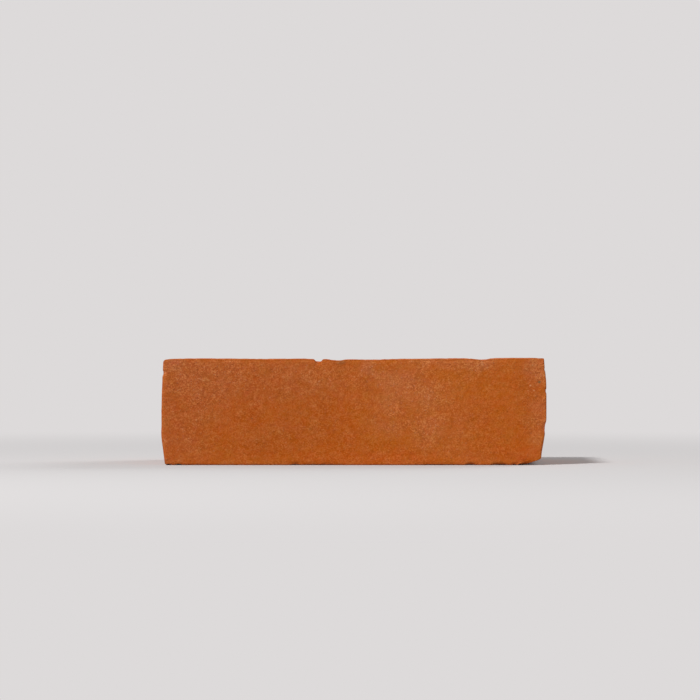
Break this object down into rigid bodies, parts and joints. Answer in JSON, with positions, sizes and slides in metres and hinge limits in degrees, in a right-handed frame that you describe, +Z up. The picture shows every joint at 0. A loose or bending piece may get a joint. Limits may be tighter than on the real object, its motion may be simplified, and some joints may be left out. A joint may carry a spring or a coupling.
{
  "type": "clay brick",
  "caption": "Solid moulded clay facing brick with softly rounded arrises, a sanded orange face and a shallow frog in its upper bed, for laying in mortar.",
  "frame": {"origin": "middle of the lower (struck) bed, on the surface the brick lies on", "axes": "+X along the length, +Z up out of the frogged upper bed, and -Y out of the stretcher face that the picture shows"},
  "size_m": [0.22, 0.105, 0.061],
  "materials": {
    "fired_clay": "matte"
  },
  "bodies": {
    "root": {"brick": "fired_clay"}
  },
  "joints": []
}
